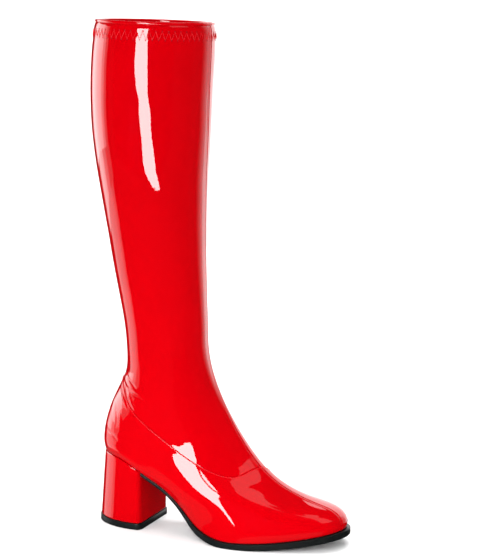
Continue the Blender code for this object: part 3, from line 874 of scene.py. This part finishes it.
def start_tree(name, sockets):
    """Geometry Nodes with a path, the given inputs and a finish, and the node that hands them out."""
    tree = bpy.data.node_groups.new(name, "GeometryNodeTree")
    for label, kind in (("Path", "Geometry"), *sockets, ("Finish", "Material")):
        tree.interface.new_socket(label, in_out="INPUT", socket_type="NodeSocket" + kind)
    tree.interface.new_socket("Mesh", in_out="OUTPUT", socket_type="NodeSocketGeometry")
    return tree, node_of(tree, "NodeGroupInput").outputs


def end_tree(tree, inputs, geometry):
    """Make the geometry real, give it its finish and hand it over."""
    real = node_of(tree, "GeometryNodeRealizeInstances")
    paint = node_of(tree, "GeometryNodeSetMaterial")
    tree.links.new(geometry, real.inputs["Geometry"])
    tree.links.new(real.outputs["Geometry"], paint.inputs["Geometry"])
    tree.links.new(inputs["Finish"], paint.inputs["Material"])
    tree.links.new(paint.outputs["Geometry"], node_of(tree, "NodeGroupOutput").inputs["Mesh"])
    return tree


def attribute_of(tree, name):
    """A direction kept on the path's points."""
    node = node_of(tree, "GeometryNodeInputNamedAttribute", data_type="FLOAT_VECTOR")
    node.inputs["Name"].default_value = name
    return node.outputs["Attribute"]


def stitch_tree(name):
    """Geometry Nodes that turn a path into thread of a given diameter."""
    tree, inputs = start_tree(name, [("Diameter", "Float")])
    curve = node_of(tree, "GeometryNodeMeshToCurve")
    profile = node_of(tree, "GeometryNodeCurvePrimitiveCircle")
    profile.inputs["Resolution"].default_value = THREAD_SIDES
    half = node_of(tree, "ShaderNodeMath", operation="DIVIDE")
    half.inputs[1].default_value = 2.0
    sweep = node_of(tree, "GeometryNodeCurveToMesh")
    sweep.inputs["Fill Caps"].default_value = True
    link = tree.links.new
    link(inputs["Path"], curve.inputs["Mesh"])
    link(inputs["Diameter"], half.inputs[0])
    link(half.outputs[0], profile.inputs["Radius"])
    link(curve.outputs["Curve"], sweep.inputs["Curve"])
    link(profile.outputs["Curve"], sweep.inputs["Profile Curve"])
    return end_tree(tree, inputs, sweep.outputs["Mesh"])


def spot_tree(name):
    """Geometry Nodes that lay one small rounded body on each point, turned by the point's attributes."""
    lengths = ("Length", "Width", "Height")
    tree, inputs = start_tree(name, [*[(size, "Float") for size in (*lengths, "Smallest")], ("Seed", "Int")])
    body = node_of(tree, "GeometryNodeMeshUVSphere")
    body.inputs["Segments"].default_value = SPOT_SEGMENTS
    body.inputs["Rings"].default_value = SPOT_RINGS
    body.inputs["Radius"].default_value = 0.5
    facing = attribute_of(tree, "facing")
    along = attribute_of(tree, "along")
    upright = node_of(tree, "FunctionNodeAlignRotationToVector", axis="Z")
    turned = node_of(tree, "FunctionNodeAlignRotationToVector", axis="X", pivot_axis="Z")
    size = node_of(tree, "ShaderNodeCombineXYZ")
    chance = node_of(tree, "FunctionNodeRandomValue", data_type="FLOAT")
    smallest, largest = [s for s in chance.inputs if s.enabled and s.name in ("Min", "Max")]
    largest.default_value = 1.0
    scaled = node_of(tree, "ShaderNodeVectorMath", operation="SCALE")
    placed = node_of(tree, "GeometryNodeInstanceOnPoints")
    link = tree.links.new
    link(facing, upright.inputs["Vector"])
    link(upright.outputs["Rotation"], turned.inputs["Rotation"])
    link(along, turned.inputs["Vector"])
    for axis, length in zip("XYZ", lengths):
        link(inputs[length], size.inputs[axis])
    link(inputs["Smallest"], smallest)
    link(inputs["Seed"], chance.inputs["Seed"])
    link(size.outputs[0], scaled.inputs[0])
    link([s for s in chance.outputs if s.enabled][0], scaled.inputs["Scale"])
    link(inputs["Path"], placed.inputs["Points"])
    link(body.outputs["Mesh"], placed.inputs["Instance"])
    link(turned.outputs["Rotation"], placed.inputs["Rotation"])
    link(scaled.outputs[0], placed.inputs["Scale"])
    return end_tree(tree, inputs, placed.outputs["Instances"])


def grow_nodes(name, points, edges, tree, values, **directions):
    """Run a node tree on a path and keep the result as a plain mesh object."""
    path = bpy.data.meshes.new(name + "_path")
    path.from_pydata(np.asarray(points).tolist(), edges, [])
    for label, vectors in directions.items():
        path.attributes.new(label, "FLOAT_VECTOR", "POINT").data.foreach_set("vector", vectors.ravel())
    carrier = in_scene(name + "_carrier", path)
    modifier = carrier.modifiers.new("Stitches", "NODES")
    modifier.node_group = tree
    for item in tree.interface.items_tree:
        if item.in_out == "INPUT" and item.name in values:
            modifier[item.identifier] = values[item.name]
    bpy.context.view_layer.update()
    ready = carrier.evaluated_get(bpy.context.evaluated_depsgraph_get())
    mesh = bpy.data.meshes.new_from_object(ready)
    mesh.name = name
    mesh.shade_smooth()
    made = in_scene(name, mesh)
    bpy.data.objects.remove(carrier, do_unlink=True)
    return made


def grow_spots(name, points, normals, along, tree_name, sizes, chance, finish_material):
    """Lay a rounded body of the given length, width and height on each point."""
    values = dict(zip(("Length", "Width", "Height", "Smallest", "Seed"), (*sizes, *chance)))
    values["Finish"] = finish_material
    return grow_nodes(name, points, [], spot_tree(tree_name), values, facing=normals, along=along)


def collar_points(stitch, below, angle):
    """Points at distances below the collar's top, with the form's normals and the relief there."""
    base, normals = on_form(COLLAR_HEIGHT - below, angle)
    relief = collar_relief(below, angle, collar_pitches(stitch))
    return base, normals, relief + waves(base) * ease(below, *WAVE_START)


def make_collar_stitch(settings):
    """Zigzag of red thread that holds the elastic hem, dipping into its needle holes."""
    stitch = settings.stitch
    steps = 2 * collar_pitches(stitch) * STITCH_STEPS
    step = np.arange(steps)
    phase = (step / STITCH_STEPS) % 2
    height = np.where(phase < 1, phase, 2 - phase)
    below = STITCH_TOP + (STITCH_BOTTOM - STITCH_TOP) * height
    base, normals, relief = collar_points(stitch, below, step / steps * 2 * pi)
    arch = np.abs(np.sin(pi * phase)) ** 0.5
    lift = relief + stitch.thread * (STITCH_ARCH * arch - STITCH_SUNK)
    edges = [(i, (i + 1) % steps) for i in range(steps)]
    values = {"Diameter": stitch.thread, "Finish": thread_material(stitch)}
    tree = stitch_tree("Zigzag thread")
    return grow_nodes("collar_thread", base + normals * lift[:, None], edges, tree, values)


def make_collar_hole_shade(settings):
    """Painted shade of the needle holes that the zigzag's corners pull open: a flat dark spot on each."""
    stitch = settings.stitch
    corner = np.arange(2 * collar_pitches(stitch))
    angle = corner / len(corner) * 2 * pi
    below = np.where(corner % 2 == 0, STITCH_TOP, STITCH_BOTTOM)
    base, normals, relief = collar_points(stitch, below, angle)
    level = COLLAR_HEIGHT - below
    along = form_points(level, angle + ANGLE_NUDGE) - form_points(level, angle - ANGLE_NUDGE)
    sizes = (stitch.hole, stitch.hole, stitch.hole * HOLE_DEPTH)
    return grow_spots("collar_hole_shade", base + normals * relief[:, None], normals, along, "Needle hole shade",
                      sizes, HOLE_CHANCE, hole_shade_material(stitch))


def make_seam_stitch(settings):
    """Thread that joins the lower foot to the shaft, lying in the seam above the lower foot's edge."""
    stitch = settings.stitch
    fine = np.linspace(0, 2 * pi, SEAM_STEPS + 1)
    line = form_points(seam_level(fine) + SEAM_THREAD_PLACE, fine)
    run = np.concatenate([[0.0], np.cumsum(np.linalg.norm(np.diff(line, axis=0), axis=1))])
    count = round(run[-1] / stitch.seam_pitch)
    angle = np.interp((np.arange(count) + 0.5) / count * run[-1], run, fine)
    base, normals = on_form(seam_level(angle) + SEAM_THREAD_PLACE, angle)
    before, after = angle - ANGLE_NUDGE, angle + ANGLE_NUDGE
    along = form_points(seam_level(after), after) - form_points(seam_level(before), before)
    sizes = (stitch.seam_pitch, stitch.seam_width, stitch.seam_width * STITCH_FLATNESS)
    return grow_spots("seam_thread", base + normals * SEAM_THREAD_RISE, normals, along, "Seam stitches",
                      sizes, STITCH_CHANCE, thread_material(stitch))


# Lights: width and height, place, point that they look at, power in watts. Sizes and places in metres.
BOOT_MIDDLE = (0.09, 0.0, 0.2)
LIGHTS = (
    ("key_light", (0.8, 1.0), (0.3, -1.5, 0.9), BOOT_MIDDLE, 21.0),
    ("left_light", (1.0, 1.2), (-1.4, -0.9, 1.0), BOOT_MIDDLE, 7.0),
    ("right_light", (1.0, 1.2), (1.7, 0.2, 1.0), BOOT_MIDDLE, 0.8),
    ("back_light", (1.6, 1.2), (-0.2, 1.9, 1.5), BOOT_MIDDLE, 6.0),
    ("top_light", (3.0, 3.0), (0.1, 0.3, 3.0), BOOT_MIDDLE, 80.0),
    ("low_light", (0.5, 0.12), (0.10, -0.24, 0.02), (0.10, 0.0, 0.02), 0.7),
    ("paper_light", (1.6, 1.0), (0.2, 1.4, 3.0), (-1.2, 3.4, 0.8), 100.0),
)
WORLD_LIGHT = 0.015

CAMERA_PLACE = (0.6711, -1.3033, 0.466)
CAMERA_AIM = (0.11045, 0.0, 0.228)
CAMERA_LENS = 106.71        # mm
CAMERA_SENSOR = 36.0        # mm

# Floor: flat out to a radius, a round bend and an upright backdrop, all round
FLOOR_RINGS = (0.0, 0.4, 1.2, 2.4)
FLOOR_BEND = 1.2
FLOOR_BEND_STEPS = 13
BACKDROP_HEIGHT = 4.0
FLOOR_COLUMNS = 64

# Flat panels that show in the patent: each one's distance in front of the boot, its light, and its corners as
# metres across and above the floor. They stand square to the azimuth PANEL_AZIMUTH.
PANEL_AZIMUTH = 5.0
PANEL_FOOT = (0.0854, 0.0, 0.0)
STRIP_DISTANCE = 0.28       # mirrored as the long strip down the shaft
STRIP_LIGHT = 17.0
STRIP_CORNERS = (
    (-0.098, 0.520), (-0.106, 0.440), (-0.111, 0.400), (-0.103, 0.385), (-0.083, 0.370), (-0.066, 0.358),
    (-0.066, 0.340), (-0.052, 0.320), (-0.040, 0.300), (-0.034, 0.275), (-0.016, 0.262), (0.012, 0.252),
    (0.040, 0.243), (0.080, 0.238), (0.125, 0.236), (0.112, 0.248), (0.087, 0.262), (0.070, 0.280),
    (0.052, 0.300), (0.042, 0.320), (0.038, 0.335), (0.021, 0.350), (0.006, 0.365), (-0.003, 0.385),
    (-0.008, 0.440), (0.000, 0.520),
)
WINDOW_DISTANCE = 1.1       # mirrored as the bright patch on the lower foot
WINDOW_LIGHT = 18.0
WINDOW_CORNERS = (
    (-0.620, 0.080), (0.080, 0.080), (0.200, 0.140), (0.220, 0.240), (0.200, 0.400), (0.120, 0.720),
    (0.000, 0.880), (-0.120, 0.800), (-0.270, 0.580), (-0.370, 0.380), (-0.470, 0.240), (-0.600, 0.160),
)
SCREEN_DISTANCE = 0.30      # dark card that keeps the window out of the shaft
SCREEN_CORNERS = ((-0.450, 0.250), (0.400, 0.250), (0.400, 0.600), (-0.450, 0.600))
SHADE_DISTANCE = 0.12       # dark card that keeps the window out of the toe
SHADE_CORNERS = (
    (0.001, 0.0), (0.220, 0.0), (0.220, 0.150), (0.018, 0.150), (0.015, 0.122), (0.012, 0.108),
    (0.009, 0.090), (0.002, 0.075), (0.000, 0.050),
)

# Curved panels round the boot. left and right are azimuths and low and high are elevations, in degrees as
# seen from PANEL_CENTRE, and radius is in metres.
PANEL_COLUMNS = ("name", "left", "right", "low", "high", "radius", "light")
PANELS = (
    ("side_first", -118, -112, -6, 25, 1.6, 3.0),
    ("side", -112, -81, -6, 25, 1.6, 4.2),
    ("side_soft", -81, -74, -6, 25, 1.6, 2.4),
    ("side_faint", -74, -68, -6, 25, 1.6, 0.8),
    ("middle_first", -113, -107, -12, -6, 1.6, 2.2),
    ("middle", -107, -90, -12, -6, 1.6, 3.3),
    ("middle_soft", -90, -79, -12, -6, 1.6, 1.6),
    ("middle_faint", -79, -66, -12, -6, 1.6, 0.6),
    ("low", -108, -76, -28, -12, 1.6, 1.6),
    ("low_faint", -76, -69, -28, -12, 1.6, 1.0),
    ("back_faint", 102, 127, -14, 40, 2.0, 0.03),
    ("back_first", 127, 130, -14, 40, 2.0, 0.10),
    ("back_second", 130, 133, -14, 40, 2.0, 0.22),
    ("back_third", 133, 137, -14, 40, 2.0, 0.42),
    ("back_fourth", 137, 142, -14, 40, 2.0, 0.70),
    ("back", 142, 150, -14, 40, 2.0, 1.1),
    ("back_far", 150, 221, -20, 40, 2.0, 2.2),
    ("roof", 59, 98, 35, 69, 1.8, 0.9),
    ("roof_top", 50, 140, 69, 80, 1.8, 0.9),
    ("below", -150, 60, -60, -28, 1.5, 0.14),
)
PANEL_CENTRE = (0.06, 0.0, 0.23)
PANEL_SHAPE = (25, 13)      # points across and up


def aimed(name, data, place, aim):
    """A light or a camera at a place, looking at a point."""
    made = in_scene(name, data)
    made.location = place
    made.rotation_euler = (Vector(aim) - Vector(place)).to_track_quat("-Z", "Y").to_euler()
    return made


def make_light(name, size, place, aim, power):
    """A soft area light that isn't mirrored in the patent."""
    data = bpy.data.lights.new(name, "AREA")
    data.shape = "RECTANGLE"
    data.size, data.size_y = size
    data.energy = power
    lamp = aimed(name, data, place, aim)
    lamp.visible_camera = False
    lamp.visible_glossy = False


def make_flat_panel(name, distance, light, corners):
    """A flat softbox in front of the boot, whose reflection is one of the white patches."""
    turn = radians(PANEL_AZIMUTH)
    out = np.array([sin(turn), -cos(turn), 0.0])
    across = np.array([cos(turn), sin(turn), 0.0])
    foot = np.array(PANEL_FOOT) + out * distance
    verts = [foot + across * a + np.array([0.0, 0.0, z]) for a, z in corners]
    make_glow(name, verts, [tuple(range(len(corners)))], light)


def make_panel(name, left, right, low, high, radius, light):
    """A curved softbox round the boot."""
    columns, rows = PANEL_SHAPE
    verts = []
    for elevation in np.radians(np.linspace(low, high, rows)):
        for azimuth in np.radians(np.linspace(left, right, columns)):
            level = cos(elevation)
            out = np.array([sin(azimuth) * level, -cos(azimuth) * level, sin(elevation)])
            verts.append(np.array(PANEL_CENTRE) + radius * out)
    faces = []
    for i in range(rows - 1):
        for j in range(columns - 1):
            k = i * columns + j
            faces.append((k, k + 1, k + columns + 1, k + columns))
    make_glow(name, verts, faces, light)


def make_glow(name, verts, faces, light):
    """A glowing surface that only reflections see."""
    material = bpy.data.materials.new(name + "_glow")
    material.use_nodes = True
    tree = material.node_tree
    tree.nodes.clear()
    glow = node_of(tree, "ShaderNodeEmission")
    glow.inputs["Strength"].default_value = light
    tree.links.new(glow.outputs[0], node_of(tree, "ShaderNodeOutputMaterial").inputs["Surface"])
    mesh = bpy.data.meshes.new(name + "_panel")
    mesh.from_pydata([tuple(v) for v in verts], [], faces)
    mesh.materials.append(material)
    panel = in_scene(name + "_panel", mesh)
    panel.visible_camera = False
    panel.visible_diffuse = False
    panel.visible_shadow = False


def make_floor(settings):
    """Pale floor that curves up into a backdrop."""
    edge = FLOOR_RINGS[-1]
    profile = [(radius, FLOOR) for radius in FLOOR_RINGS]
    for t in np.linspace(0, pi / 2, FLOOR_BEND_STEPS)[1:]:
        profile.append((edge + FLOOR_BEND * sin(t), FLOOR_BEND * (1 - cos(t))))
    profile.append((edge + FLOOR_BEND, BACKDROP_HEIGHT))
    around = np.linspace(0, 2 * pi, FLOOR_COLUMNS + 1)[:-1]
    verts = [(r * cos(a) + BOOT_MIDDLE[0], r * sin(a), z) for r, z in profile for a in around]
    mesh = bpy.data.meshes.new("floor")
    mesh.from_pydata(verts, [], ring_faces(len(profile), len(around), False))
    mesh.shade_smooth()
    paper = new_material("floor_paper", tuple(settings.floor_colour), roughness=0.9, specular=0.0)[0]
    mesh.materials.append(paper)
    floor = in_scene("floor", mesh)
    floor.visible_glossy = False


def make_stage(settings):
    """Floor, soft light, the panels that the patent mirrors, and the camera."""
    make_floor(settings)
    for row in LIGHTS:
        make_light(*row)
    make_flat_panel("strip", STRIP_DISTANCE, STRIP_LIGHT, STRIP_CORNERS)
    make_flat_panel("window", WINDOW_DISTANCE, WINDOW_LIGHT, WINDOW_CORNERS)
    make_flat_panel("screen", SCREEN_DISTANCE, 0.0, SCREEN_CORNERS)
    make_flat_panel("shade", SHADE_DISTANCE, 0.0, SHADE_CORNERS)
    for row in PANELS:
        make_panel(**dict(zip(PANEL_COLUMNS, row)))

    world = bpy.data.worlds.new("studio")
    world.use_nodes = True
    background = world.node_tree.nodes["Background"]
    background.inputs["Color"].default_value = (1, 1, 1, 1)
    background.inputs["Strength"].default_value = WORLD_LIGHT
    bpy.context.scene.world = world
    bpy.context.scene.view_settings.view_transform = "Standard"

    data = bpy.data.cameras.new("camera")
    data.lens = CAMERA_LENS
    data.sensor_width = CAMERA_SENSOR
    bpy.context.scene.camera = aimed("camera", data, CAMERA_PLACE, CAMERA_AIM)


class BootPatentSettings(bpy.types.PropertyGroup):
    """Finish of the patent."""

    colour: bpy.props.FloatVectorProperty(
        name="Patent colour", description="Colour under the clear coat", subtype="COLOR",
        size=3, min=0.0, max=1.0, default=(0.42, 0.0, 0.002))
    coat_roughness: bpy.props.FloatProperty(
        name="Coat roughness", description="Blur of what the clear coat mirrors", default=0.02,
        min=0.0, max=0.5)
    peel: bpy.props.FloatProperty(
        name="Peel", description="Depth of the coat's orange peel", default=0.000012,
        unit="LENGTH", precision=6)


class BootStitchSettings(bpy.types.PropertyGroup):
    """Thread and its spacing."""

    thread: bpy.props.FloatProperty(
        name="Thread", description="Diameter of the thread", default=0.0004, unit="LENGTH", precision=5)
    zigzag_pitch: bpy.props.FloatProperty(
        name="Zigzag pitch", description="Length of one zigzag round the collar", default=0.0053,
        unit="LENGTH", precision=4)
    thread_colour: bpy.props.FloatVectorProperty(
        name="Thread colour", description="Colour of the thread", subtype="COLOR", size=3, min=0.0, max=1.0,
        default=(0.50, 0.003, 0.007))
    hole: bpy.props.FloatProperty(
        name="Hole", description="Diameter of a needle hole", default=0.0015, unit="LENGTH", precision=5)
    # Dark red painted as the shade in a needle hole
    hole_shade_colour: bpy.props.FloatVectorProperty(
        name="Hole colour", description="Colour of the shade in a needle hole", subtype="COLOR", size=3,
        min=0.0, max=1.0, default=(0.26, 0.001, 0.005))
    seam_pitch: bpy.props.FloatProperty(
        name="Seam pitch", description="Length of one stitch along the lower foot's seam", default=0.0022,
        unit="LENGTH", precision=4)
    seam_width: bpy.props.FloatProperty(
        name="Seam width", description="Width of one stitch along the lower foot's seam", default=0.0013,
        unit="LENGTH", precision=4)


class BootSoleSettings(bpy.types.PropertyGroup):
    """Finish of the sole and the lift."""

    colour: bpy.props.FloatVectorProperty(
        name="Sole colour", description="Colour of the sole and the lift", subtype="COLOR", size=3,
        min=0.0, max=1.0, default=(0.0025, 0.0035, 0.0035))


class BootLiningSettings(bpy.types.PropertyGroup):
    """Finish of the inside."""

    colour: bpy.props.FloatVectorProperty(
        name="Lining colour", description="Colour of the knit lining", subtype="COLOR", size=3,
        min=0.0, max=1.0, default=(0.50, 0.42, 0.34))


class BootStageSettings(bpy.types.PropertyGroup):
    """Floor of the studio."""

    floor_colour: bpy.props.FloatVectorProperty(
        name="Floor colour", description="Colour of the floor and backdrop", subtype="COLOR", size=3,
        min=0.0, max=1.0, default=(0.9, 0.9, 0.9))


class BootSettings(bpy.types.PropertyGroup):
    """All settings of the boot."""

    patent: bpy.props.PointerProperty(type=BootPatentSettings)
    stitch: bpy.props.PointerProperty(type=BootStitchSettings)
    sole: bpy.props.PointerProperty(type=BootSoleSettings)
    lining: bpy.props.PointerProperty(type=BootLiningSettings)
    stage: bpy.props.PointerProperty(type=BootStageSettings)


def dress(settings, node_rows):
    """Make pieces, hang each one on the root body, and hide the solid that it takes the place of."""
    for make, node, slot in node_rows:
        piece = make(settings)
        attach(piece, "root")
        if node:
            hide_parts(node)
    return {"FINISHED"}


class BOOT_OT_upper(bpy.types.Operator):
    """Make the shaft, the lower foot and the lining"""

    bl_idname = "boot.upper"
    bl_label = "Upper"

    def execute(self, context):
        return dress(context.scene.boot, (
            (make_shaft, "upper", "patent"),
            (make_lower_foot, "upper", "patent"),
            (make_lining, "upper", "lining")))


class BOOT_OT_stitches(bpy.types.Operator):
    """Sew the collar and the seam of the lower foot"""

    bl_idname = "boot.stitches"
    bl_label = "Stitches"

    def execute(self, context):
        return dress(context.scene.boot, (
            (make_collar_stitch, None, "patent"),
            (make_collar_hole_shade, None, "patent"),
            (make_seam_stitch, None, "patent")))


class BOOT_OT_heel(bpy.types.Operator):
    """Make the covered heel and its lift"""

    bl_idname = "boot.heel"
    bl_label = "Heel"

    def execute(self, context):
        return dress(context.scene.boot, (
            (make_heel, "heel", "heel_cover"),
            (make_top_lift, "top_lift", "lift")))


class BOOT_OT_sole(bpy.types.Operator):
    """Make the sole and the sock"""

    bl_idname = "boot.sole"
    bl_label = "Sole"

    def execute(self, context):
        return dress(context.scene.boot, (
            (make_outsole, "outsole", "sole"),
            (make_insole, "insole", "lining")))


class BOOT_OT_stage(bpy.types.Operator):
    """Set the floor, the lights and the camera"""

    bl_idname = "boot.stage"
    bl_label = "Stage"

    def execute(self, context):
        make_stage(context.scene.boot.stage)
        return {"FINISHED"}


OPERATORS = (BOOT_OT_upper, BOOT_OT_stitches, BOOT_OT_heel, BOOT_OT_sole, BOOT_OT_stage)


class BOOT_PT_panel(bpy.types.Panel):
    """Lists the boot's pieces in the sidebar"""

    bl_idname = "BOOT_PT_panel"
    bl_label = "Go go boot"
    bl_space_type = "VIEW_3D"
    bl_region_type = "UI"
    bl_category = "Boot"

    def draw(self, context):
        for operator in OPERATORS:
            self.layout.operator(operator.bl_idname)


CLASSES = (BootPatentSettings, BootStitchSettings, BootSoleSettings, BootLiningSettings, BootStageSettings,
           BootSettings, *OPERATORS, BOOT_PT_panel)


def register():
    """Add the classes and the settings."""
    for made in CLASSES:
        bpy.utils.register_class(made)
    bpy.types.Scene.boot = bpy.props.PointerProperty(type=BootSettings)


def unregister():
    """Take the settings and the classes away."""
    del bpy.types.Scene.boot
    for made in reversed(CLASSES):
        bpy.utils.unregister_class(made)


def main():
    """Make every piece in order."""
    register()
    bpy.ops.boot.upper()
    bpy.ops.boot.stitches()
    bpy.ops.boot.heel()
    bpy.ops.boot.sole()
    bpy.ops.boot.stage()


if __name__ == "__main__":
    main()
